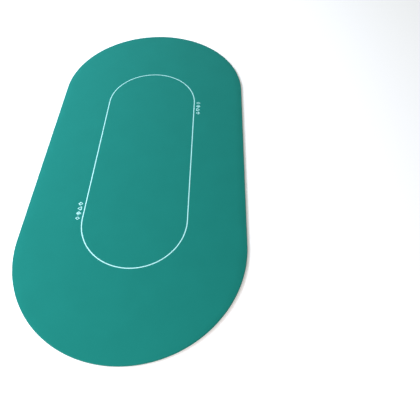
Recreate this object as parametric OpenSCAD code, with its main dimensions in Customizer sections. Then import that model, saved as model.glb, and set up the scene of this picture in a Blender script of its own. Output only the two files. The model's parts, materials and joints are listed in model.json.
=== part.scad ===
// Folding poker table top: an oval playing surface in four padded panels and a narrow spine.
// Every fold closes cloth to cloth, so one unbroken sheet of cloth can cross all four fold lines.
// The far panels lie towards +Y. Z = 0 is the table that the rubber feet stand on.

/* [Top] */
// Overall length of the oval, along Y
top_length = 1800; // [1200:10:2400]
// Overall width of the oval, along X
top_width = 900; // [600:10:1200]
// Distance from the middle of the top to each outer fold line
end_fold_y = 462; // [300:1:640]
// Width of the spine between the two middle fold lines
spine_width = 26; // [20:1:60]
// Half of the gap between two panels where they butt together
butt_gap = 0.3; // [0.15:0.05:1]

/* [Layers] */
// Height of the rubber feet under the board
foot_height = 3; // [2:0.5:8]
// Thickness of the fibreboard panels
board_thick = 6; // [4:0.5:15]
// Thickness of the foam pad
foam_thick = 2; // [1:0.5:6]
// Thickness of the cloth
cloth_thick = 1; // [0.5:0.1:2]
// Width of the cloth turned under the rim
hem_width = 25; // [12:1:50]
// Height of the fold axis above the cloth
axis_lift = 0.35; // [0.3:0.05:1]

/* [Fold tape] */
// Thickness of the woven tape under the cloth at each fold
tape_thick = 0.5; // [0.3:0.1:0.9]
// Width of tape glued to a panel beside its fold
tape_reach = 30; // [15:1:60]
// Margin from the ends of the tape to the rim
tape_margin = 20; // [5:1:60]

/* [Printed line] */
// Half of the width of the printed oval, to the middle of the line
line_radius = 212.5; // [120:0.5:400]
// Half of the straight run of the printed oval
line_straight = 344; // [100:1:500]
// Width of the printed line
line_width = 4; // [2:0.5:12]
// Thickness of the printed film
print_thick = 0.15; // [0.1:0.05:0.3]

/* [Card suit marks] */
// Distance from the long centre line to the middle of a row of marks
mark_x = 232.5; // [200:0.5:400]
// Distance from the middle of the top to the middle of a row of marks
mark_y = 309; // [50:1:420]
// Height of one mark
mark_size = 19.5; // [8:1:60]
// Spacing of the marks in a row
mark_pitch = 23.5; // [12:1:80]

/* [Feet] */
// Diameter of a panel foot
foot_diameter = 20; // [10:1:40]
// Diameter of a spine foot
spine_foot_diameter = 14; // [8:1:20]
// Width of the small cone at the bottom rim of a foot
foot_rim = 1; // [0.5:0.1:1.4]
// Distance from the long centre line to the outer columns of feet on the inner panels
foot_column = 340; // [200:5:400]
// Distance from the outer fold line to the nearest row of feet
foot_fold_margin = 60; // [30:1:120]
// Distance from the spine's fold line to the nearest row of feet
foot_spine_margin = 32; // [20:1:80]
// Distance from the long centre line to the feet nearest the fold on the outer panels
end_foot_column = 300; // [150:5:360]
// Distance from the long centre line to the feet nearest the tip
tip_foot_column = 170; // [80:5:220]
// Distance from the outer fold line to the feet nearest the tip
tip_foot_row = 310; // [200:5:360]
// Spacing of the feet along the spine
spine_foot_pitch = 260; // [150:5:280]

/* [Staples] */
// Width of a staple's crown
staple_crown = 10; // [6:0.5:14]
// Thickness of the staple wire
staple_wire = 0.7; // [0.5:0.1:1.2]
// Depth of a staple's legs above the hem
staple_depth = 4; // [2:0.5:5]
// Distance from the rim to the row of staples
staple_inset = 14; // [6:1:20]
// Angle between two staples round an end
staple_turn = 13; // [8:0.5:20]
// Angle from the straight side to the first staple of an end
staple_first_turn = 15; // [8:1:30]
// Spacing of the staples along a straight side
staple_pitch = 80; // [40:5:120]

/* [Hidden] */
$fn = 96;
// Segments in a full turn of the big oval, and in the small rounds of a suit mark
OVAL_SEGMENTS = 180;
MARK_SEGMENTS = 40;
TINY = 0.01;
// Places of four things in a row about its middle, in steps of their spacing
ROW_OF_FOUR = [-1.5, -0.5, 0.5, 1.5];
BOARD_BROWN = [0.62, 0.47, 0.32];
FOAM_GREY = [0.16, 0.16, 0.17];
CLOTH_GREEN = [0.14, 0.57, 0.54];
FILM_PALE = [0.80, 0.93, 0.92];
TAPE_WHITE = [0.85, 0.84, 0.80];
ZINC_GREY = [0.72, 0.72, 0.74];
RUBBER_BLACK = [0.08, 0.08, 0.09];
// Share of a suit mark that is cut out of its middle, and the three leaves of a club
MARK_HOLLOW = 0.6;
CLUB_LEAVES = [[0, 0.26], [-0.24, -0.08], [0.24, -0.08]];
end_radius = top_width / 2;
straight_half = top_length / 2 - end_radius;
hem_z = foot_height - cloth_thick;
board_z = foot_height;
foam_z = board_z + board_thick;
cloth_z = foam_z + foam_thick;
surface_z = cloth_z + cloth_thick;
axis_z = surface_z + axis_lift;
spine_half = spine_width / 2;
tape_z = cloth_z - tape_thick;

// Y extents of each panel, from its near edge to its far edge
NEAR_END = [-top_length / 2, -end_fold_y - butt_gap];
NEAR_MID = [-end_fold_y + butt_gap, -spine_half - butt_gap];
SPINE = [-spine_half + butt_gap, spine_half - butt_gap];
FAR_MID = [spine_half + butt_gap, end_fold_y - butt_gap];
FAR_END = [end_fold_y + butt_gap, top_length / 2];

// Rows and columns of feet and staples on the near side
foot_rows_mid = [
  -end_fold_y + foot_fold_margin,
  -(end_fold_y + spine_half) / 2,
  -spine_half - foot_spine_margin
];
foot_columns_mid = [-foot_column, 0, foot_column];
end_foot_columns = [-end_foot_column, 0, end_foot_column];
spine_foot_x = ROW_OF_FOUR * spine_foot_pitch;
STAPLES_PER_QUARTER = 6;
STAPLE_ROWS = 6;
staple_angles = [
  for (side = [-1, 1], k = [0 : STAPLES_PER_QUARTER - 1])
    270 + side * (90 - staple_first_turn - k * staple_turn)
];
staple_rows = [for (k = [0 : STAPLE_ROWS - 1]) -staple_pitch / 2 - k * staple_pitch];

// ---- shared shapes ----

module oval_2d(radius, straight) {
  for (side = [-1, 1]) translate([0, side * straight]) circle(r = radius, $fn = OVAL_SEGMENTS);
  square([2 * radius, 2 * straight], center = true);
}

// A slice of the oval between two heights, drawn in from the rim by inset.
module oval_slab(z_low, z_high, inset) {
  translate([0, 0, z_low])
    linear_extrude(z_high - z_low) oval_2d(end_radius - inset, straight_half);
}

// Half of the cross-section of the whole top: flat faces with a rounded rim.
module rim_profile() {
  polygon(concat(
    [[0, hem_z]],
    [for (a = [-90 : 30 : 0]) rim_point(a, board_z)],
    [for (a = [0 : 30 : 90]) rim_point(a, cloth_z)],
    [[0, surface_z]]
  ));
}

function rim_point(a, z) =
  [end_radius - cloth_thick + cloth_thick * cos(a), z + cloth_thick * sin(a)];

// The outer shape of the whole top above its feet.
module rounded_oval() {
  for (turn = [0, 180]) rotate([0, 0, turn]) {
    translate([0, straight_half, 0]) rotate_extrude(angle = 180, $fn = OVAL_SEGMENTS) rim_profile();
    translate([0, straight_half, 0]) rotate([90, 0, 0])
      linear_extrude(2 * straight_half) rim_profile();
  }
}

// Everything between the two edges of a panel.
module band(span) {
  translate([-top_width, span[0], -foot_height])
    cube([2 * top_width, span[1] - span[0], 3 * surface_z]);
}

module mirrored_y() {
  mirror([0, 1, 0]) children();
}

// ---- layers of one panel ----

module board_layer(span) {
  intersection() {
    oval_slab(board_z, foam_z, cloth_thick);
    band(span);
  }
}

module foam_layer(span) {
  intersection() {
    oval_slab(foam_z, cloth_z, cloth_thick);
    band(span);
  }
}

// Cloth over the top, down the rim and turned under as a hem.
module cloth_layer(span) {
  intersection() {
    difference() {
      rounded_oval();
      oval_slab(board_z, cloth_z, cloth_thick);
      oval_slab(hem_z - cloth_thick, board_z + TINY, hem_width);
    }
    band(span);
  }
}

module line_layer(span) {
  intersection() {
    translate([0, 0, surface_z]) linear_extrude(print_thick) difference() {
      oval_2d(line_radius + line_width / 2, line_straight);
      oval_2d(line_radius - line_width / 2, line_straight);
    }
    band(span);
  }
}

// Woven tape glued into the top of the foam between two distances along the top.
module tape_strip(y_low, y_high) {
  translate([0, 0, tape_z]) linear_extrude(tape_thick) intersection() {
    oval_2d(end_radius - tape_margin, straight_half);
    translate([-end_radius, y_low]) square([top_width, y_high - y_low]);
  }
}

// ---- feet ----

module foot(diameter) {
  cylinder(d1 = diameter - 2 * foot_rim, d2 = diameter, h = foot_rim);
  translate([0, 0, foot_rim]) cylinder(d = diameter, h = foot_height - foot_rim);
}

module feet_mid() {
  for (x = foot_columns_mid, y = foot_rows_mid) translate([x, y, 0]) foot(foot_diameter);
}

module feet_end() {
  for (x = end_foot_columns)
    translate([x, -end_fold_y - foot_fold_margin, 0]) foot(foot_diameter);
  for (side = [-1, 1])
    translate([side * tip_foot_column, -end_fold_y - tip_foot_row, 0]) foot(foot_diameter);
}

// ---- staples ----

// One staple: a crown under the hem, and two legs that go up through the hem into the board.
module staple() {
  translate([-staple_crown / 2, -staple_wire / 2, hem_z - staple_wire])
    cube([staple_crown, staple_wire, staple_wire]);
  for (side = [-1, 1])
    translate([side * (staple_crown - staple_wire) / 2 - staple_wire / 2, -staple_wire / 2, hem_z])
      translate([0, 0, -TINY]) cube([staple_wire, staple_wire, staple_depth + TINY]);
}

module staples_end() {
  for (a = staple_angles)
    translate([0, -straight_half, 0]) rotate([0, 0, a])
      translate([end_radius - staple_inset, 0, 0]) rotate([0, 0, 90]) staple();
}

module staples_mid() {
  for (y = staple_rows, side = [-1, 1])
    translate([side * (end_radius - staple_inset), y, 0]) rotate([0, 0, 90]) staple();
}

module staples_spine() {
  for (side = [-1, 1])
    translate([side * (end_radius - staple_inset), 0, 0]) rotate([0, 0, 90]) staple();
}

// ---- card suit marks, drawn upright in a square of side 1 ----
// The numbers inside each suit are shares of that side.

// Leaves the outline of a shape, by cutting a smaller copy out of its middle.
module outlined() {
  difference() {
    children();
    scale(MARK_HOLLOW) children();
  }
}

module heart_body() {
  for (side = [-1, 1]) translate([side * 0.22, 0.2]) circle(r = 0.25, $fn = MARK_SEGMENTS);
  polygon([[-0.44, 0.08], [0, -0.5], [0.44, 0.08], [0, 0.3]]);
}

module suit_heart() {
  outlined() heart_body();
}

module suit_spade() {
  translate([0, 0.06]) scale([0.9, -0.86]) outlined() heart_body();
  polygon([[-0.14, -0.5], [0.14, -0.5], [0.05, -0.2], [-0.05, -0.2]]);
}

module suit_club() {
  difference() {
    for (place = CLUB_LEAVES) translate(place) circle(r = 0.22, $fn = MARK_SEGMENTS);
    for (place = CLUB_LEAVES) translate(place) circle(r = 0.12, $fn = MARK_SEGMENTS);
  }
  polygon([[-0.14, -0.5], [0.14, -0.5], [0.05, -0.12], [-0.05, -0.12]]);
}

module suit_diamond() {
  outlined() polygon([[0, 0.5], [0.37, 0], [0, -0.5], [-0.37, 0]]);
}

// A row of the four suits, which reads from the outside of the long side.
module mark_row() {
  translate([-mark_x, -mark_y, surface_z]) rotate([0, 0, -90]) linear_extrude(print_thick) {
    translate([ROW_OF_FOUR[0] * mark_pitch, 0]) scale(mark_size) suit_spade();
    translate([ROW_OF_FOUR[1] * mark_pitch, 0]) scale(mark_size) suit_heart();
    translate([ROW_OF_FOUR[2] * mark_pitch, 0]) scale(mark_size) suit_club();
    translate([ROW_OF_FOUR[3] * mark_pitch, 0]) scale(mark_size) suit_diamond();
  }
}

// ---- outer panel, near side ----

module near_end_board() {
  color(BOARD_BROWN) difference() {
    board_layer(NEAR_END);
    staples_end();
  }
}

module near_end_foam() {
  color(FOAM_GREY) difference() {
    foam_layer(NEAR_END);
    near_end_tape();
  }
}

module near_end_cloth() {
  color(CLOTH_GREEN) difference() {
    cloth_layer(NEAR_END);
    staples_end();
  }
}

module near_end_line() {
  color(FILM_PALE) line_layer(NEAR_END);
}

module near_end_tape() {
  color(TAPE_WHITE) tape_strip(NEAR_END[1] - tape_reach, NEAR_END[1]);
}

module near_end_staples() {
  color(ZINC_GREY) staples_end();
}

module near_end_feet() {
  color(RUBBER_BLACK) feet_end();
}

// ---- inner panel, near side ----

module near_mid_board() {
  color(BOARD_BROWN) difference() {
    board_layer(NEAR_MID);
    staples_mid();
  }
}

module near_mid_foam() {
  color(FOAM_GREY) difference() {
    foam_layer(NEAR_MID);
    near_mid_tapes();
  }
}

module near_mid_cloth() {
  color(CLOTH_GREEN) difference() {
    cloth_layer(NEAR_MID);
    staples_mid();
  }
}

module near_mid_line() {
  color(FILM_PALE) line_layer(NEAR_MID);
}

module near_mid_marks() {
  color(FILM_PALE) mark_row();
}

module near_mid_tapes() {
  color(TAPE_WHITE) {
    tape_strip(NEAR_MID[0], NEAR_MID[0] + tape_reach);
    tape_strip(NEAR_MID[1] - tape_reach, NEAR_MID[1]);
  }
}

module near_mid_staples() {
  color(ZINC_GREY) staples_mid();
}

module near_mid_feet() {
  color(RUBBER_BLACK) feet_mid();
}

// ---- spine ----

module spine_board() {
  color(BOARD_BROWN) difference() {
    board_layer(SPINE);
    staples_spine();
  }
}

module spine_foam() {
  color(FOAM_GREY) difference() {
    foam_layer(SPINE);
    spine_tape();
  }
}

module spine_cloth() {
  color(CLOTH_GREEN) difference() {
    cloth_layer(SPINE);
    staples_spine();
  }
}

module spine_line() {
  color(FILM_PALE) line_layer(SPINE);
}

module spine_tape() {
  color(TAPE_WHITE) tape_strip(SPINE[0], SPINE[1]);
}

module spine_staples() {
  color(ZINC_GREY) staples_spine();
}

module spine_feet() {
  color(RUBBER_BLACK)
    for (x = spine_foot_x) translate([x, 0, 0]) foot(spine_foot_diameter);
}

// ---- far side, which mirrors the near side ----

module far_mid_board() mirrored_y() near_mid_board();
module far_mid_foam() mirrored_y() near_mid_foam();
module far_mid_cloth() mirrored_y() near_mid_cloth();
module far_mid_line() mirrored_y() near_mid_line();
module far_mid_tapes() mirrored_y() near_mid_tapes();
module far_mid_staples() mirrored_y() near_mid_staples();
module far_mid_feet() mirrored_y() near_mid_feet();

// The far row of marks is turned half round, so that it reads from the other long side.
module far_mid_marks() {
  rotate([0, 0, 180]) near_mid_marks();
}

module far_end_board() mirrored_y() near_end_board();
module far_end_foam() mirrored_y() near_end_foam();
module far_end_cloth() mirrored_y() near_end_cloth();
module far_end_line() mirrored_y() near_end_line();
module far_end_tape() mirrored_y() near_end_tape();
module far_end_staples() mirrored_y() near_end_staples();
module far_end_feet() mirrored_y() near_end_feet();

near_end_board();
near_end_foam();
near_end_cloth();
near_end_line();
near_end_tape();
near_end_staples();
near_end_feet();
near_mid_board();
near_mid_foam();
near_mid_cloth();
near_mid_line();
near_mid_marks();
near_mid_tapes();
near_mid_staples();
near_mid_feet();
spine_board();
spine_foam();
spine_cloth();
spine_line();
spine_tape();
spine_staples();
spine_feet();
far_mid_board();
far_mid_foam();
far_mid_cloth();
far_mid_line();
far_mid_marks();
far_mid_tapes();
far_mid_staples();
far_mid_feet();
far_end_board();
far_end_foam();
far_end_cloth();
far_end_line();
far_end_tape();
far_end_staples();
far_end_feet();
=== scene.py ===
# %% [markdown]
# # A folding poker table top
#
# The top is a long oval of thin board panels under one sheet of cloth, and it folds into a flat bundle.
# The CAD already holds the rigid layers, the joints and the real sizes.
# This lesson adds what cloth, foam, film and fibreboard look like, in the same frame, in metres.
# It could all be drawn again from nothing, but starting from the CAD keeps the two models in step.

# %% Load the frame
import json
import math

import bpy
import numpy as np
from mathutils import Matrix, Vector

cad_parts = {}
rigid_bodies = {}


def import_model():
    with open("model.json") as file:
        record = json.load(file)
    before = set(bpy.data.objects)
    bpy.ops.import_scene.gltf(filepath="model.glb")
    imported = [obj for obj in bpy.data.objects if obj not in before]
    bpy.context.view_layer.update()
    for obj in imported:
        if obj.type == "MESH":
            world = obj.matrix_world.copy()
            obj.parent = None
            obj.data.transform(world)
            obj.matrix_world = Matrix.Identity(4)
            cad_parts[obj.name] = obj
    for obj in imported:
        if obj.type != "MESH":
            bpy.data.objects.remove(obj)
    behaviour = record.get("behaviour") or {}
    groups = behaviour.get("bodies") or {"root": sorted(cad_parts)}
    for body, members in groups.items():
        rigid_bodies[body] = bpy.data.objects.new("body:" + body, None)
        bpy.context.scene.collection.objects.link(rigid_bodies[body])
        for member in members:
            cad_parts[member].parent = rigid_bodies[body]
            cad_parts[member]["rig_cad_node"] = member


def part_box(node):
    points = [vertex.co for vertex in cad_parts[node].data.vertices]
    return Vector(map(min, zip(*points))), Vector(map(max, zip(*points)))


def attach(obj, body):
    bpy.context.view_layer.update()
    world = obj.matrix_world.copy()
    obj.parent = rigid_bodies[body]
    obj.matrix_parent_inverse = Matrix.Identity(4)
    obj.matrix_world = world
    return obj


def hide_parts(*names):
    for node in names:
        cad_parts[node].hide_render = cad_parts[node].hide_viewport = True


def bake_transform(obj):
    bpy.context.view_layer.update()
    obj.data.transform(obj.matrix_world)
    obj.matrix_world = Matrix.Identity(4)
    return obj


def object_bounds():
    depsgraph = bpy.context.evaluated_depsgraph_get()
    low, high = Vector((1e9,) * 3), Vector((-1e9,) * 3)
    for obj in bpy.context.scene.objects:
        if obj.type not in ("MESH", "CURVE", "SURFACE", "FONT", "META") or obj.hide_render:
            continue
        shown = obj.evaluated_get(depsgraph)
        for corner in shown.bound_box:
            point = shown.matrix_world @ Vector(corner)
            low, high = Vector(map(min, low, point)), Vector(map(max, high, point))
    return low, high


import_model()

cad_low, cad_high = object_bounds()
print("CAD box", [round(v, 4) for v in cad_low], [round(v, 4) for v in cad_high])

# %% [markdown]
# ## Panels and fold lines
#
# On the real top, two outer panels, two inner panels and a narrow spine lie edge to edge.
# Their places could be typed in here, but then a change in the CAD would leave them behind.
# So every fold line is measured: it lies in the middle of the gap between two cloth skins.

# %% Measure the panels
PANELS = ["near_end", "near_mid", "spine", "far_mid", "far_end"]
BODY_OF = {panel: panel + "_panel" for panel in PANELS}
BODY_OF["spine"] = "spine_slat"


def fold_between(lower, upper):
    return (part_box(lower + "_cloth")[1].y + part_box(upper + "_cloth")[0].y) / 2


FOLDS = [fold_between(a, b) for a, b in zip(PANELS, PANELS[1:])]
print("fold lines at Y", [round(fold, 4) for fold in FOLDS])

# %% [markdown]
# ## The oval and its layers
#
# The oval is two half circles joined by straight sides, so its end radius is half of its width.
# From the table upwards come rubber feet, hem, board, foam and cloth.
# Each height is read from the box of a CAD piece for the same reason as the folds.

# %% Measure the oval and the layers
end_radius = cad_high.x
half_length = cad_high.y
straight_half = half_length - end_radius
hem_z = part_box("near_mid_cloth")[0].z
board_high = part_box("near_mid_board")[1].z
tape_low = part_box("near_mid_tapes")[0].z
foam_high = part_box("near_mid_foam")[1].z
surface_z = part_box("near_mid_cloth")[1].z
cloth_thick = surface_z - foam_high
layers = {"hem": hem_z, "board": board_high, "foam": foam_high, "cloth": surface_z}
print("end radius", round(end_radius, 4), "straight side", round(2 * straight_half, 4))
print("heights", {name: round(height, 4) for name, height in layers.items()})

# %% [markdown]
# ## Starting the cloth finish
#
# Playing cloth is a close, flat weave with a short nap, made so that cards slide and chips stay put.
# A finish is a graph of nodes that ends in one shader. It could be one flat colour,
# but close up the cloth would look like plastic. So the graph is built up in layers: dye, threads, nap.
# All of them read a flat map of the sheet in metres, so the weave stays put when the cloth bends.

# %% Start the cloth finish
def new_finish(name, roughness, metallic=0.0):
    finish = bpy.data.materials.new(name)
    finish.use_nodes = True
    shader = finish.node_tree.nodes["Principled BSDF"]
    shader.inputs["Roughness"].default_value = roughness
    shader.inputs["Metallic"].default_value = metallic
    return finish, shader


def node(finish, kind, **values):
    made = finish.node_tree.nodes.new(kind)
    for key, value in values.items():
        if hasattr(made, key):
            setattr(made, key, value)
        else:
            made.inputs[key.replace("_", " ")].default_value = value
    return made


def link(finish, source, target):
    finish.node_tree.links.new(source, target)


def flat_coords(finish):
    return node(finish, "ShaderNodeUVMap", uv_map="laid_flat").outputs["UV"]


cloth_finish, cloth_shader = new_finish("playing_cloth", 0.88)
cloth_coords = flat_coords(cloth_finish)
print(cloth_finish.name, "starts with", len(cloth_finish.node_tree.nodes), "nodes")

# %% [markdown]
# ## The dye
#
# Dyed cloth is never quite even: the shade drifts a little over a hand's width.
# An image of real cloth could show that, but it would repeat and would have to travel with the file.
# A soft noise between two near greens has no edges and no repeat.

# %% Dye the cloth
CLOTH_DARK = (0.0056, 0.172, 0.139)
CLOTH_LIGHT = (0.0062, 0.180, 0.146)
DYE_PATCHES = 9.0


def noise(finish, coords, scale, detail=3.0, rough=0.55):
    made = node(finish, "ShaderNodeTexNoise", Scale=scale, Detail=detail, Roughness=rough)
    link(finish, coords, made.inputs["Vector"])
    return made.outputs["Fac"]


def ramp(finish, value, stops):
    made = node(finish, "ShaderNodeValToRGB")
    link(finish, value, made.inputs["Fac"])
    elements = made.color_ramp.elements
    while len(elements) < len(stops):
        elements.new(0.5)
    for element, (place, colour) in zip(elements, stops):
        element.position = place
        element.color = (*colour, 1.0)
    return made.outputs["Color"]


def grey(level):
    return (level, level, level)


dye = noise(cloth_finish, cloth_coords, DYE_PATCHES, 4.0)
dye_colour = ramp(cloth_finish, dye, [(0.3, CLOTH_DARK), (0.7, CLOTH_LIGHT)])
print("dye runs from", CLOTH_DARK, "to", CLOTH_LIGHT)

# %% [markdown]
# ## The threads
#
# The warp runs along one way of the sheet and the weft crosses it, about eleven threads to the centimetre.
# Real threads could be modelled, but a top of this size has about two million crossings.
# Two crossed band textures give the same small relief. Multiplied, they leave a bump at each crossing.

# %% Weave the cloth
THREAD_PITCH = 0.0009


def threads(finish, coords, direction, pitch):
    # Blender's band wave repeats every 2 pi / (20 * scale) units.
    made = node(finish, "ShaderNodeTexWave", wave_type="BANDS", bands_direction=direction)
    made.inputs["Scale"].default_value = 2 * math.pi / (20 * pitch)
    made.inputs["Distortion"].default_value = 0.6
    made.inputs["Detail"].default_value = 1.0
    link(finish, coords, made.inputs["Vector"])
    return made.outputs["Fac"]


def crossed(finish, coords, first_way, first_pitch, second_way, second_pitch):
    made = node(finish, "ShaderNodeMath", operation="MULTIPLY")
    link(finish, threads(finish, coords, first_way, first_pitch), made.inputs[0])
    link(finish, threads(finish, coords, second_way, second_pitch), made.inputs[1])
    return made.outputs["Value"]


weave = crossed(cloth_finish, cloth_coords, "X", THREAD_PITCH, "Y", THREAD_PITCH)
print("threads to the centimetre:", round(0.01 / THREAD_PITCH, 1))

# %% [markdown]
# ## The nap
#
# The nap is a fuzz of short fibre ends. It kills the shine, apart from a faint sheen at low angles,
# and shade falls into it where it parts; here that shade is painted into the dye as a slight darkening.
# Hair particles could make it, but they cost far more than they show at this length.
# So a very fine noise paints that shade into the dye, darker where its bump sinks,
# and adds the last bump, over the threads and the give of the pad.

# %% Add the nap and the relief
NAP_SPECKS = 1400.0
PAD_WAVES = 14.0


def shaded(finish, colour, shade, strength):
    mix = node(finish, "ShaderNodeMix", data_type="RGBA", blend_type="MULTIPLY")
    mix.inputs["Factor"].default_value = strength
    link(finish, colour, mix.inputs["A"])
    link(finish, shade, mix.inputs["B"])
    return mix.outputs["Result"]


def bump(finish, shader, height, distance, strength=1.0, under=None):
    made = node(finish, "ShaderNodeBump", Strength=strength, Distance=distance)
    link(finish, height, made.inputs["Height"])
    if under is not None:
        link(finish, under, made.inputs["Normal"])
    link(finish, made.outputs["Normal"], shader.inputs["Normal"])
    return made.outputs["Normal"]


nap = noise(cloth_finish, cloth_coords, NAP_SPECKS, 2.0)
# painted shade: where the nap's bump sinks, the dye is up to 7 percent darker
painted_nap_shade = ramp(cloth_finish, nap, [(0.25, grey(0.80)), (0.75, grey(1.0))])
cloth_colour = shaded(cloth_finish, dye_colour, painted_nap_shade, 0.35)
link(cloth_finish, cloth_colour, cloth_shader.inputs["Base Color"])
pad_give = noise(cloth_finish, cloth_coords, PAD_WAVES, 2.0)
soft = bump(cloth_finish, cloth_shader, pad_give, 0.00010, 0.5)
woven = bump(cloth_finish, cloth_shader, weave, 0.00010, 0.7, soft)
bump(cloth_finish, cloth_shader, nap, 0.00006, 0.6, woven)
cloth_shader.inputs["Specular IOR Level"].default_value = 0.10
cloth_shader.inputs["Sheen Weight"].default_value = 0.03
cloth_shader.inputs["Sheen Roughness"].default_value = 0.5
print(cloth_finish.name, "now has", len(cloth_finish.node_tree.nodes), "nodes")

# %% [markdown]
# ## The printed film
#
# The oval line and the suit marks are cut from thin pale film and pressed on hot, so they follow the weave.
# They could be painted into the cloth finish, but as pieces of their own they keep sharp edges.
# The film is smoother than the cloth, and some green tints it where the weave shows through.
# The line has the flat map, as the cloth has, so it reads it. The marks never bend and have no map,
# so they read their place in space instead. That makes two finishes from one recipe.

# %% Print finishes
FILM_THIN = (0.26, 0.60, 0.58)
FILM_FULL = (0.40, 0.77, 0.75)


def solid_coords(finish):
    return node(finish, "ShaderNodeTexCoord").outputs["Object"]


def pressed_film(name, coords_of):
    finish, shader = new_finish(name, 0.5)
    coords = coords_of(finish)
    cover = noise(finish, coords, 420.0)
    film = ramp(finish, cover, [(0.28, FILM_THIN), (0.5, FILM_FULL)])
    link(finish, film, shader.inputs["Base Color"])
    bump(finish, shader, noise(finish, coords, 1100.0, 1.0), 0.00004, 0.6)
    return finish


line_finish = pressed_film("pressed_line", flat_coords)
mark_finish = pressed_film("pressed_marks", solid_coords)
print("film finishes:", line_finish.name, mark_finish.name)

# %% [markdown]
# ## Fibreboard
#
# The panels are medium-density fibreboard: wood fibre pressed with glue, with flecks and no grain.
# A wood texture with rings would be the easy choice, and it would be wrong for pressed board.
# A fine, rough noise gives the flecks in three browns, and a broad one gives the cloudy shade of the press.
# The same flecks drive the roughness, because the glue between the fibres is smoother than the fibres.

# %% Fibreboard finish
board_finish, shader = new_finish("fibreboard", 0.72)
coords = solid_coords(board_finish)
fleck = noise(board_finish, coords, 520.0, 6.0, 0.7)
DARK_FLECK = (0.150, 0.085, 0.042)
BROWN_FLECK = (0.290, 0.180, 0.098)
PALE_FLECK = (0.365, 0.240, 0.140)
flecks = ramp(board_finish, fleck, [(0.30, DARK_FLECK), (0.50, BROWN_FLECK), (0.72, PALE_FLECK)])
cloudy = noise(board_finish, coords, 7.0)
press_shade = ramp(board_finish, cloudy, [(0.3, (0.82, 0.80, 0.78)), (0.7, grey(1.0))])
link(board_finish, shaded(board_finish, flecks, press_shade, 0.5), shader.inputs["Base Color"])
sanded = ramp(board_finish, fleck, [(0.3, grey(0.85)), (0.7, grey(0.62))])
link(board_finish, sanded, shader.inputs["Roughness"])
bump(board_finish, shader, fleck, 0.0001, 0.7)
print(board_finish.name, "has", len(board_finish.node_tree.nodes), "nodes")

# %% [markdown]
# ## Foam
#
# The pad is closed-cell foam, so its cut edge is a field of tiny cells.
# Noise would look like cloth here. A cell texture gives round cells with thin walls between them,
# and the same cells make the relief and a painted shade: each cut cell is darker towards its middle, where
# it sinks.

# %% Foam finish
foam_finish, shader = new_finish("closed_cell_foam", 0.92)
cells = node(foam_finish, "ShaderNodeTexVoronoi", Scale=1500.0)
link(foam_finish, solid_coords(foam_finish), cells.inputs["Vector"])
cell_size = cells.outputs["Distance"]
# painted shade: each cell is darker towards its middle, in the hollow of the relief
painted_cell_shade = ramp(foam_finish, cell_size, [(0.1, (0.022, 0.022, 0.024)), (0.6, (0.05, 0.05, 0.053))])
link(foam_finish, painted_cell_shade, shader.inputs["Base Color"])
bump(foam_finish, shader, cell_size, 0.0002, 0.8)
print("cells to the centimetre:", round(cells.inputs["Scale"].default_value / 100))

# %% [markdown]
# ## Cotton tape
#
# The tape under each fold is undyed cotton twill, which shows slanting ribs.
# A plain weave like the cloth's would hide that it is another fabric.
# So one of its two bands runs diagonally. The ribs set the relief, and a painted shade that darkens the
# grooves between them.

# %% Tape finish
tape_finish, shader = new_finish("cotton_tape", 0.9)
ribs = crossed(tape_finish, flat_coords(tape_finish), "DIAGONAL", 0.0007, "Y", 0.0005)
# painted shade: the grooves between the ribs are darker than the ribs
painted_groove_shade = ramp(tape_finish, ribs, [(0.0, (0.52, 0.49, 0.43)), (0.8, (0.68, 0.65, 0.58))])
link(tape_finish, painted_groove_shade, shader.inputs["Base Color"])
bump(tape_finish, shader, ribs, 0.00006, 0.7)
print(tape_finish.name, "has", len(tape_finish.node_tree.nodes), "nodes")

# %% [markdown]
# ## Zinc wire and rubber
#
# The staples are zinc-plated wire, bright with dull patches.
# The feet are moulded rubber, which picks up dust.
# Both could be one colour and one roughness, but real small parts are uneven where they are rubbed.
# The two differ only in numbers, so one recipe makes them: one noise drives all three values.

# %% Zinc and rubber finishes
def worn_finish(name, metallic, specks, colours, roughness, relief):
    finish, shader = new_finish(name, sum(roughness) / 2, metallic)
    wear = noise(finish, solid_coords(finish), specks, 4.0)
    link(finish, ramp(finish, wear, list(zip((0.3, 0.7), colours))), shader.inputs["Base Color"])
    rough = ramp(finish, wear, [(0.3, grey(roughness[0])), (0.7, grey(roughness[1]))])
    link(finish, rough, shader.inputs["Roughness"])
    bump(finish, shader, wear, relief, 0.6)
    return finish


ZINC = [(0.42, 0.43, 0.45), (0.66, 0.67, 0.69)]
RUBBER = [(0.010, 0.010, 0.011), (0.044, 0.043, 0.041)]
staple_finish = worn_finish("zinc_wire", 1.0, 900.0, ZINC, (0.50, 0.28), 0.00003)
rubber_finish = worn_finish("dull_rubber", 0.0, 260.0, RUBBER, (0.66, 0.88), 0.00012)
print("small finishes:", staple_finish.name, rubber_finish.name)

# %% [markdown]
# ## Rigid pieces keep their CAD shape
#
# The boards, the staples, the feet and the small suit marks are already right in the CAD.
# The staple holes and the chamfer on each foot come with them.
# They could be modelled again, but that would only add ways to drift from the real sizes.
# So each keeps its mesh and gets its finish.

# %% Finish the rigid pieces
RIGID = {
    "board": (board_finish, "fibreboard"),
    "staples": (staple_finish, "staple_wire"),
    "feet": (rubber_finish, "rubber_foot"),
    "marks": (mark_finish, "print"),
}


def cad_object(name):
    found = [o for o in bpy.context.scene.objects if o.get("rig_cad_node") == name]
    return found[0] if found else bpy.data.objects[name]


finished = 0
for panel in PANELS:
    for kind, (finish, slot_name) in RIGID.items():
        if kind == "marks" and not panel.endswith("_mid"):
            continue
        piece = cad_object(panel + "_" + kind)
        piece.data.materials.clear()
        piece.data.materials.append(finish)
        finished += 1
print("rigid pieces finished:", finished)

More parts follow.
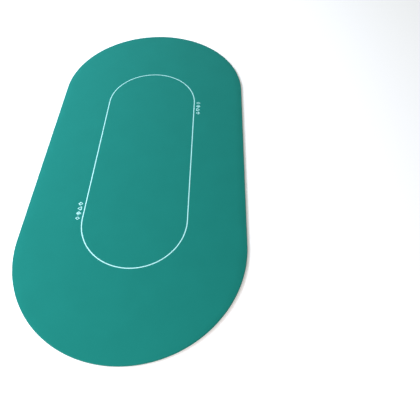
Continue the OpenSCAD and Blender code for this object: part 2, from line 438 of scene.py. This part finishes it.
# %% [markdown]
# ## Stations along the oval
#
# Each soft layer of the top follows the same oval, from the near end to the far end.
# It could be cut from a grid, but a square grid makes a jagged rim on the round ends.
# So the layer is drawn as a row of stations, like the ribs of a boat.
# On the straight sides a station runs straight across. On the ends it turns with the rim,
# so it has a heading: 0 on the straight, and up to 90 degrees at the tip.
# At a fold it runs straight across again, or its hem would reach over the fold line.

# %% Headings and rim points
RIM_ROUND = 0.003
AT_FOLD = 0.001
rim_radius = end_radius - RIM_ROUND


def heading_at(y):
    beyond = abs(y) - straight_half
    return 0.0 if beyond <= 0 else math.asin(min(1.0, beyond / rim_radius))


def rim_point(y, radius, z):
    # A point at this distance from the end centre, on the heading of station y.
    angle = heading_at(y)
    side = 1.0 if y >= 0 else -1.0
    if angle == 0.0:
        return radius, y, z
    if any(abs(y - fold) < AT_FOLD for fold in FOLDS):
        return math.sqrt(radius ** 2 - (abs(y) - straight_half) ** 2), y, z
    return radius * math.cos(angle), side * (straight_half + radius * math.sin(angle)), z


half_way = heading_at(straight_half + end_radius / 2)
print("heading half way along a round end:", round(math.degrees(half_way), 1), "degrees")

# %% [markdown]
# ## Where the stations stand
#
# A sheet that bends needs its points where it bends. Stretched cloth over butted boards turns
# in almost no length, so nine stations crowd into the 1.4 mm at each fold.
# Even spacing that fine over the whole top would only give many times the points.
# So the straight sides get a station every 6 mm, and the ends one every 0.75 degrees.

# %% Choose the stations
FOLD_HALF = 0.0007
FOLD_STEPS = (-1, -0.75, -0.5, -0.25, 0, 0.25, 0.5, 0.75, 1)
STATION_STEP = 0.006
STATION_TURN = 0.75
LAST_TURN = 89.9
ROUNDING = 1e-9
CLEAR_OF_FOLD = 0.002
LEAST_STEP = 0.00015


def station_rows(low, high):
    rows = [low, high]
    past_end = straight_half + STATION_STEP / 2
    rows.extend(float(y) for y in np.arange(-straight_half, past_end, STATION_STEP))
    for degrees in np.arange(STATION_TURN, 90 + STATION_TURN / 2, STATION_TURN):
        reach = straight_half + rim_radius * math.sin(math.radians(min(degrees, LAST_TURN)))
        rows.extend([-reach, reach])
    for fold in FOLDS:
        rows = [y for y in rows if abs(y - fold) > CLEAR_OF_FOLD]
        rows.extend(fold + FOLD_HALF * step for step in FOLD_STEPS)
    rows = sorted(y for y in rows if low - ROUNDING <= y <= high + ROUNDING)
    kept = rows[:1]
    for y in rows[1:]:
        if y - kept[-1] > LEAST_STEP:
            kept.append(y)
    return kept


print("stations on the whole top:", len(station_rows(-half_length, half_length)))

# %% [markdown]
# ## Pleats in the hem
#
# The cloth is turned under the board as a hem. On the straight sides the hem lies flat.
# Round the ends it has more length than it needs, so it gathers into small pleats.
# A cloth simulation could find them, but it is slow on a sheet this size and could cut the board.
# A wave along the rim puts them where they are wanted. A second, slower wave makes them uneven,
# and they grow from nothing at the start of the round end.

# %% Pleats
PLEAT_PITCH = 0.019
PLEAT_DEPTH = 0.0006
PLEAT_DRIFT = 1.7
PLEAT_DRIFT_RATE = 2.3
PLEATS_FULL_AT = 0.12


def pleat(y):
    angle = heading_at(y)
    if angle == 0.0:
        return 0.0
    run = angle * end_radius / PLEAT_PITCH
    drift = PLEAT_DRIFT * math.sin(PLEAT_DRIFT_RATE * run)
    wave = 0.5 - 0.5 * math.cos(2 * math.pi * run + drift)
    return PLEAT_DEPTH * wave ** 3 * min(1.0, angle / PLEATS_FULL_AT)


print("pleats round one end:", round(math.pi * end_radius / PLEAT_PITCH))

# %% [markdown]
# ## The rim and the hem
#
# Seen in section, the cloth comes out from the hem's edge, goes up the side and rolls over the soft rim.
# A square corner would catch the light as a hard line, and it would look like a box.
# So the section ends in a quarter round. The side is pulled in a little here and there,
# by two waves whose lengths don't match, so that no stretch of the rim looks like the next.

# %% Rim and hem profile
HEM_WIDTH = 0.025
RIM_INSET = 0.0002
RIM_PULL = 0.00025
PULL_WAVES = (41.0, 17.0)


def rim_profile(y):
    # From the inner edge of the hem, outwards and up to the top, as (radius, height).
    drop = pleat(y)
    pull = RIM_PULL * math.sin(PULL_WAVES[0] * y) * math.sin(PULL_WAVES[1] * y + 1.0)
    outer = end_radius - RIM_INSET - abs(pull)
    points = [
        (end_radius - HEM_WIDTH - 2 * drop, hem_z - drop),
        (end_radius - 0.66 * HEM_WIDTH, hem_z - 0.9 * drop),
        (end_radius - 0.33 * HEM_WIDTH, hem_z - 0.5 * drop),
        (end_radius - 0.0016, hem_z),
        (outer - 0.0004, hem_z + 0.0006),
        (outer, hem_z + 0.0018),
    ]
    for degrees in (0, 22.5, 45, 67.5, 90):
        turn = math.radians(degrees)
        reach = outer - RIM_ROUND * (1 - math.cos(turn)) if degrees < 90 else rim_radius
        points.append((reach, surface_z - RIM_ROUND * (1 - math.sin(turn))))
    return points


def run_along(profile):
    runs = [0.0]
    for (r0, z0), (r1, z1) in zip(profile, profile[1:]):
        runs.append(runs[-1] + math.hypot(r1 - r0, z1 - z0))
    return runs


turned_length = run_along(rim_profile(0.0))[-1]
print("cloth from the top's edge to the hem's edge:", round(1000 * turned_length, 1), "mm")

# %% [markdown]
# ## One station of cloth
#
# A station is the whole line of cloth from one hem, over the top, to the other hem.
# Each point also gets its place on the sheet as it lay flat before it was stretched on.
# Blender could unwrap the finished mesh instead, but only this keeps the weave square and at true size.

# %% Draw a station
TOP_COLUMNS = 26


def cloth_station(y):
    profile = rim_profile(y)
    right = [rim_point(y, radius, z) for radius, z in profile]
    half_width, row = right[-1][:2]
    columns = [half_width * (1 - 2 * k / TOP_COLUMNS) for k in range(1, TOP_COLUMNS)]
    top = [(x, row, surface_z) for x in columns]
    left = [(-x, yy, z) for x, yy, z in reversed(right)]
    runs = run_along(profile)
    right_flat = [half_width + runs[-1] - run for run in runs]
    across = right_flat + columns + [-value for value in reversed(right_flat)]
    return right + top + left, across


print("points in a station:", len(cloth_station(0.0)[0]))

# %% [markdown]
# ## From points to a mesh
#
# A mesh is a list of points and a list of faces that name them. The order round a face decides
# which side is its outside, so every strip here is wound the same way.
# The flat map is stored face by face, which is how Blender keeps it.

# %% Mesh helper
def finish_mesh(name, points, faces, face_flat, finish, smooth=True):
    mesh = bpy.data.meshes.new(name)
    mesh.from_pydata(points, [], faces)
    if face_flat is not None:
        layer = mesh.uv_layers.new(name="laid_flat")
        for polygon, corners in zip(mesh.polygons, face_flat):
            for loop, place in zip(polygon.loop_indices, corners):
                layer.data[loop].uv = place
    mesh.materials.append(finish)
    mesh.polygons.foreach_set("use_smooth", [smooth] * len(mesh.polygons))
    mesh.update()
    piece = bpy.data.objects.new(name, mesh)
    bpy.context.scene.collection.objects.link(piece)
    return piece


def strip_faces(first, second, count):
    return [(first + j, second + j, second + j + 1, first + j + 1) for j in range(count - 1)]


print("faces between two stations of cloth:", len(strip_faces(0, 100, len(cloth_station(0.0)[0]))))

# %% [markdown]
# ## Slits at the folds
#
# Over the top the cloth runs on through every fold. At the rim it can't: the side and the hem
# would have to stretch to let the panels turn. So they are slit there, as on a real folding top.
# A boolean cut could do it, but leaving out the faces of the side inside the fold is exact and quick.

# %% Sheet with slits
def sheet_mesh(name, rows, slit_at, finish):
    stations = [cloth_station(y) for y in rows]
    points = [point for station, _ in stations for point in station]
    width = len(stations[0][0])
    rim_faces = len(rim_profile(0.0)) - 1
    faces, face_flat = [], []
    for i in range(len(rows) - 1):
        in_slit = abs((rows[i] + rows[i + 1]) / 2 - slit_at) < FOLD_HALF
        near = [(across, rows[i]) for across in stations[i][1]]
        far = [(across, rows[i + 1]) for across in stations[i + 1][1]]
        for j, face in enumerate(strip_faces(i * width, (i + 1) * width, width)):
            on_rim = j < rim_faces or j >= width - 1 - rim_faces
            if in_slit and on_rim:
                continue
            faces.append(face)
            face_flat.append([near[j], far[j], far[j + 1], near[j + 1]])
    return finish_mesh(name, points, faces, face_flat, finish)


slit_faces = 2 * (len(rim_profile(0.0)) - 1) * (len(FOLD_STEPS) - 1)
print("faces left out for the slits of one fold:", slit_faces)

# %% [markdown]
# ## Thickness
#
# Real cloth has two faces and an edge, which show at the slits and at the hem.
# A second sheet could be drawn below the first, but the solidify modifier does it with the edges closed.
# It is applied at once, so that the piece is a plain mesh. Edges sharper than 50 degrees
# are then marked, or the shading would smear round the cut edges.

# %% Thickness helper
DRAWN_THICK = 0.9 * cloth_thick
SHARP_EDGE = math.radians(50)


def thicken(piece, thickness):
    solid = piece.modifiers.new("thickness", "SOLIDIFY")
    solid.thickness = thickness
    solid.offset = -1.0
    graph = bpy.context.evaluated_depsgraph_get()
    made = bpy.data.meshes.new_from_object(piece.evaluated_get(graph))
    piece.modifiers.clear()
    piece.data = made
    piece.data.set_sharp_from_angle(angle=SHARP_EDGE)
    return piece


print("the cloth is drawn", round(1000 * DRAWN_THICK, 2), "mm thick")

# %% [markdown]
# ## Where the sheet is divided
#
# The real cloth is one sheet. A drawn piece can bend over one joint only, so the sheet becomes
# four pieces, one per fold. They could meet at the folds, but there a gap would open.
# So they meet in the middle of a panel, where both edges lie flat and the join can't be seen.

# %% Divide the sheet
FOLD_NAMES = ["near_outer", "near_spine", "far_spine", "far_outer"]


def middle_of(panel):
    low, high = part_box(panel + "_cloth")
    return (low.y + high.y) / 2


middles = [-half_length, middle_of("near_mid"), middle_of("spine"), middle_of("far_mid"), half_length]


def bend_over(piece):
    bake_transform(piece)


print("the sheet is divided at Y", [round(y, 4) for y in middles[1:-1]])

# %% [markdown]
# ## The flat cut
#
# Before it is stretched on, each piece is a flat length of cloth: the top, the side and the hem.
# An outer piece has the turned part round its tip as well, so it is longer than it looks.
# A sewing plan would list these sizes, and the frame asks for them, to know how much sheet there is.
# Here they are printed.

# %% Measure the flat cut
wide = 2 * (rim_radius + turned_length)


def cut_size(index):
    long = middles[index + 1] - middles[index]
    at_tip = index in (0, len(FOLD_NAMES) - 1)
    return wide, long + turned_length - RIM_ROUND if at_tip else long


for index, label in enumerate(FOLD_NAMES):
    print(label, "cut", [round(1000 * size) for size in cut_size(index)], "mm")

# %% [markdown]
# ## The cloth
#
# Now the four pieces are made: drawn and thickened, and the CAD skins that they stand in for are hidden.
# It could be a simulated cloth, but a sheet glued and stapled tight has nowhere to fall.

# %% Make the cloth
for index, label in enumerate(FOLD_NAMES):
    rows = station_rows(middles[index], middles[index + 1])
    piece = sheet_mesh(label + "_fold_cloth", rows, FOLDS[index], cloth_finish)
    thicken(piece, DRAWN_THICK)
    pair = PANELS[index : index + 2]
    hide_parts(*[panel + "_cloth" for panel in pair])
    bend_over(piece)
    print(piece.name, len(piece.data.vertices), "points")

# %% [markdown]
# ## Outline of a foam pad
#
# Each panel has its own foam pad, glued to the board and cut flush with it.
# A sharp block would be easier, but the stretched cloth rounds a pad's top edge.
# So the outline has two more points at its top corner, which lean inwards.

# %% Foam outline
UNDER_CLOTH = cloth_thick + 0.0001


def foam_station(y, top, lip):
    outline = [
        (end_radius - UNDER_CLOTH, board_high),
        (end_radius - UNDER_CLOTH - 0.0001, board_high + 0.0004),
        (end_radius - UNDER_CLOTH - 0.0008, top - 0.0006 - lip),
        (end_radius - UNDER_CLOTH - 0.0028, top - lip),
    ]
    right = [rim_point(y, radius, z) for radius, z in outline]
    return right + [(-x, yy, z) for x, yy, z in reversed(right)]


print("points round a foam station:", len(foam_station(0.0, foam_high, 0.0)))

# %% [markdown]
# ## Steps for the tape
#
# A pad is shaved thinner beside each fold, so that the tape lies in a shallow step,
# and its edge at the fold is pressed down a little by the cloth that pulls over it.
# A boolean could cut the steps, but two stations close together make the same clean wall.

# %% Foam stations
TAPE_HALF = 0.030
STEP_WALL = (0.0303, 0.0306)
STEP_AT = 0.0305
END_GAP = 0.00005
END_MARGIN = 0.001
FOLD_LIP = 0.0002
LIP_REACH = 0.0008


def folds_beside(low, high):
    return [fold for fold in FOLDS if low.y - END_MARGIN < fold < high.y + END_MARGIN]


def foam_rows(low, high):
    rows = [y for y in station_rows(low.y, high.y) if low.y < y < high.y]
    beside = folds_beside(low, high)
    walls = [fold + side * wall for fold in beside for side in (-1, 1) for wall in STEP_WALL]
    rows += [low.y + END_GAP, high.y - END_GAP]
    rows += [y for y in walls if low.y + END_MARGIN < y < high.y - END_MARGIN]
    return sorted(rows)


def foam_point_row(y, beside):
    to_fold = min(abs(y - fold) for fold in beside)
    top = tape_low if to_fold < STEP_AT else foam_high
    return foam_station(y, top, FOLD_LIP if to_fold < LIP_REACH else 0.0)


print("foam stations:", [len(foam_rows(*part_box(panel + "_foam"))) for panel in PANELS])

# %% [markdown]
# ## The foam pads
#
# The pad is cut from sheet foam with a saw, so its sides are flat and its ends are square.
# It could be a scaled cube, but then the rounded top edge and the steps would be lost.
# The stations are joined into a closed block instead: strips along it, and one face at each end.
# The pad is glued down and never bends, so it rides on its panel.

# %% Make the foam
def foam_pad(panel):
    low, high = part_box(panel + "_foam")
    rows = foam_rows(low, high)
    beside = folds_beside(low, high)
    points = [point for y in rows for point in foam_point_row(y, beside)]
    faces = []
    width = len(points) // len(rows)
    for i in range(len(rows) - 1):
        a, b = i * width, (i + 1) * width
        faces.extend(strip_faces(a, b, width))
        faces.append((a + width - 1, b + width - 1, b, a))
    last = (len(rows) - 1) * width
    faces.append(tuple(range(width)))
    faces.append(tuple(range(last + width - 1, last - 1, -1)))
    piece = finish_mesh(panel + "_foam_pad", points, faces, None, foam_finish, smooth=False)
    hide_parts(panel + "_foam")
    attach(piece, BODY_OF[panel])
    return piece


foam_pieces = [foam_pad(panel) for panel in PANELS]
print("foam pads:", [len(piece.data.polygons) for piece in foam_pieces], "faces")

# %% [markdown]
# ## Fold tapes
#
# A strip of twill under the cloth carries the pull across each fold, so the cloth isn't strained.
# When the top is closed, the tape is what shows between the parted boards.
# It could be two halves, one per panel, but then it would tear open at the fold.
# So each strip is one thin closed sheet across its fold.

# %% Make the tapes
TAPE_COLUMNS = 25
TAPE_THICK = 0.00044
TAPE_MARGIN = 0.001
UNDER_FOAM_TOP = 0.00002


def tape_strip(index):
    fold = FOLDS[index]
    pair = PANELS[index : index + 2]
    kinds = ["_tapes" if panel.endswith("_mid") else "_tape" for panel in pair]
    low = fold - min(TAPE_HALF, fold - middles[index])
    high = fold + min(TAPE_HALF, middles[index + 1] - fold)
    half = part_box(pair[0] + kinds[0])[1].x - TAPE_MARGIN
    rows = sorted({low, high, *(fold + FOLD_HALF * step for step in FOLD_STEPS)})
    columns = [float(x) for x in np.linspace(half, -half, TAPE_COLUMNS)]
    points = [(x, y, foam_high - UNDER_FOAM_TOP) for y in rows for x in columns]
    faces, face_flat = [], []
    for i in range(len(rows) - 1):
        faces.extend(strip_faces(i * TAPE_COLUMNS, (i + 1) * TAPE_COLUMNS, TAPE_COLUMNS))
        y0, y1 = rows[i], rows[i + 1]
        face_flat.extend([(a, y0), (a, y1), (b, y1), (b, y0)] for a, b in zip(columns, columns[1:]))
    name = FOLD_NAMES[index] + "_fold_tape"
    piece = finish_mesh(name, points, faces, face_flat, tape_finish)
    thicken(piece, TAPE_THICK)
    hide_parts(*[panel + kind for panel, kind in zip(pair, kinds)])
    bend_over(piece)
    return 2 * half, high - low


tape_sizes = [tape_strip(index) for index in range(len(FOLD_NAMES))]
print("tapes", [[round(1000 * side) for side in size] for size in tape_sizes], "mm")

# %% [markdown]
# ## The path of the oval line
#
# The printed line is one closed oval parallel to the rim. It could be a curve with a bevel,
# but it has to be cut at the same places as the cloth, and a list of points is easy to cut.
# The path goes once round, with the outward direction at each point: straight, arc, straight, arc.

# %% Path of the line
LINE_WIDTH = 0.004
PATH_STEP = 0.0005
line_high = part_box("near_mid_line")[1]
line_radius = line_high.x - LINE_WIDTH / 2
line_straight = -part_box("near_end_line")[0].y - line_high.x
film_z = line_high.z


def on_arc(side, turn):
    # A point on the round end at +Y (side 1) or -Y (side -1), and its outward direction.
    across, along = math.cos(turn), math.sin(turn)
    return line_radius * across, side * line_straight + line_radius * along, across, along


def oval_path():
    arc = math.pi * line_radius
    total = 2 * arc + 4 * line_straight
    for s in np.arange(0.0, total, PATH_STEP):
        if s < line_straight:
            yield line_radius, s, 1.0, 0.0
        elif s < line_straight + arc:
            yield on_arc(1, (s - line_straight) / line_radius)
        elif s < 3 * line_straight + arc:
            yield -line_radius, 2 * line_straight + arc - s, -1.0, 0.0
        elif s < 3 * line_straight + 2 * arc:
            yield on_arc(-1, math.pi + (s - 3 * line_straight - arc) / line_radius)
        else:
            yield line_radius, s - total, 1.0, 0.0


path = list(oval_path())
print("the line is", round(len(path) * PATH_STEP, 2), "m long")

# %% [markdown]
# ## Cutting the line into lengths
#
# The line crosses all four folds, so it is made in the same four lengths as the cloth.
# One length can touch the path in two places, once on each side of the top, and each is a run of points.
# Every point of the path would make a heavy mesh, and too few would show corners when the top is folded.
# So a run has a point every 6 mm, and every half millimetre where it crosses the fold.

# %% Runs of points
POINTS_SKIPPED = 12
FINE_NEAR_FOLD = 0.006
PATH_ROUNDING = 1e-6


def ribbon_points(index):
    # The numbers of the path's points on this length, as one list for each unbroken run.
    low, high = middles[index] - PATH_ROUNDING, middles[index + 1] + PATH_ROUNDING
    inside = [low <= point[1] <= high for point in path]
    runs, run = [], []
    for k in range(len(path) + 1):
        here = k % len(path)
        if not inside[here]:
            if run:
                runs.append(run)
            run = []
            continue
        ends_run = not run or not inside[(here + 1) % len(path)]
        near_fold = abs(path[here][1] - FOLDS[index]) < FINE_NEAR_FOLD
        if ends_run or near_fold or here % POINTS_SKIPPED == 0:
            run.append(k)
    return runs + [run] if run else runs


print("points in each length:", [sum(map(len, ribbon_points(k))) for k in range(len(FOLD_NAMES))])

# %% [markdown]
# ## The printed line
#
# The film is a flat ribbon whose edges are turned down to the cloth, as pressed film is.
# It could be a colour on the cloth, but then it would lose its small step and its edge.
# Drawn as a ribbon, it catches the light along its edge.

# %% Make the printed line
FILM_EDGE = 0.0002
edge = LINE_WIDTH / 2
film_low = surface_z - 0.00005
RIBBON = [(-edge, film_low), (FILM_EDGE - edge, film_z), (edge - FILM_EDGE, film_z), (edge, film_low)]


def meet_neighbour(index, y):
    # The last point of a length is moved onto the dividing line, where the next length starts.
    for line in (middles[index], middles[index + 1]):
        if abs(y - line) < 1.2 * PATH_STEP:
            return line
    return y


def ribbon(index):
    points, faces, face_flat = [], [], []
    count = len(RIBBON)
    for run in ribbon_points(index):
        for place, k in enumerate(run):
            x, y, across, along = path[k % len(path)]
            if place in (0, len(run) - 1):
                y = meet_neighbour(index, y)
            first = len(points)
            points.extend((x + across * d, y + along * d, z) for d, z in RIBBON)
            if place:
                before, here = run[place - 1] * PATH_STEP, k * PATH_STEP
                for j, face in enumerate(strip_faces(first - count, first, count)):
                    faces.append(face[::-1])
                    d0, d1 = RIBBON[j][0], RIBBON[j + 1][0]
                    face_flat.append([(d1, before), (d1, here), (d0, here), (d0, before)])
    name = FOLD_NAMES[index] + "_fold_line"
    piece = finish_mesh(name, points, faces, face_flat, line_finish, smooth=False)
    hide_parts(*[panel + "_line" for panel in PANELS[index : index + 2]])
    bend_over(piece)
    return piece


lengths = [ribbon(index) for index in range(len(FOLD_NAMES))]
print("faces in each length of the line:", [len(piece.data.polygons) for piece in lengths])

# %% [markdown]
# ## Camera
#
# The top is seen from past its near end and a little to the right, by someone who looks down at it.
# The camera could be aimed at the middle, but its own place and three angles are easier to adjust:
# how far it is tipped up from straight down, how much it leans, and how far it is turned.

# %% Camera
CAMERA_PLACE = (0.2971, -1.1280, 1.3016 + surface_z)
CAMERA_ANGLES = (32.766, 0.375, 1.852)
scene = bpy.context.scene
camera_data = bpy.data.cameras.new("view_camera")
camera_data.lens = 32.43
camera_data.shift_x = 0.0238
camera_data.sensor_width = 36.0
camera = bpy.data.objects.new("view_camera", camera_data)
camera.rotation_euler = [math.radians(angle) for angle in CAMERA_ANGLES]
camera.location = CAMERA_PLACE
scene.collection.objects.link(camera)
scene.camera = camera
print("camera tipped", CAMERA_ANGLES[0], "degrees from straight down")

# %% [markdown]
# ## Floor and room
#
# The top lies on a plain pale surface. A white background image would give no soft shadow under the rim.
# So the floor is a real plane. It glows very slightly, which keeps it white without washing out the cloth.
# The room is an even soft light with a trace less blue, which stands for light off walls.

# %% Floor and room
floor_finish, shader = new_finish("pale_floor", 0.85)
shader.inputs["Base Color"].default_value = (0.93, 0.93, 0.93, 1.0)
shader.inputs["Specular IOR Level"].default_value = 0.1
shader.inputs["Emission Color"].default_value = (1.0, 1.0, 1.0, 1.0)
shader.inputs["Emission Strength"].default_value = 0.15
bpy.ops.mesh.primitive_plane_add(size=60.0, location=(0, 0, -0.0002))
floor = bpy.context.object
floor.name = "floor"
floor.data.materials.append(floor_finish)

world = bpy.data.worlds.new("soft_room")
world.use_nodes = True
room = world.node_tree.nodes["Background"]
room.inputs["Color"].default_value = (1.0, 1.0, 0.90, 1.0)
room.inputs["Strength"].default_value = 0.46
scene.world = world
print("room light", room.inputs["Strength"].default_value)

# %% [markdown]
# ## Light
#
# Matte cloth shows its shape only by a slow change of brightness. A small lamp would make a hot spot.
# So a wide soft panel on the left gives a gentle fall-off to the right,
# and a small weak one lifts the near end, which is the part that the first panel reaches least.

# %% Lights
def soft_panel(name, place, aim, length, height, power, colour):
    light = bpy.data.lights.new(name, "AREA")
    light.shape = "RECTANGLE"
    light.size = length
    light.size_y = height
    light.energy = power
    light.color = colour
    lamp = bpy.data.objects.new(name, light)
    lamp.location = place
    lamp.rotation_mode = "QUATERNION"
    lamp.rotation_quaternion = (Vector(aim) - Vector(place)).to_track_quat("-Z", "Y")
    scene.collection.objects.link(lamp)
    print(name, power, "W")


COOL = (0.90, 1.0, 1.20)
WARM = (1.25, 1.0, 1.05)
soft_panel("left_panel", (-1.8, 0.55, 1.55), (-0.3, 0.55, 0.0), 3.6, 1.8, 115.0, COOL)
soft_panel("near_panel", (-0.4, -2.1, 0.9), (-0.1, -0.85, 0.0), 1.4, 0.7, 18.0, WARM)
scene.view_settings.view_transform = "Standard"
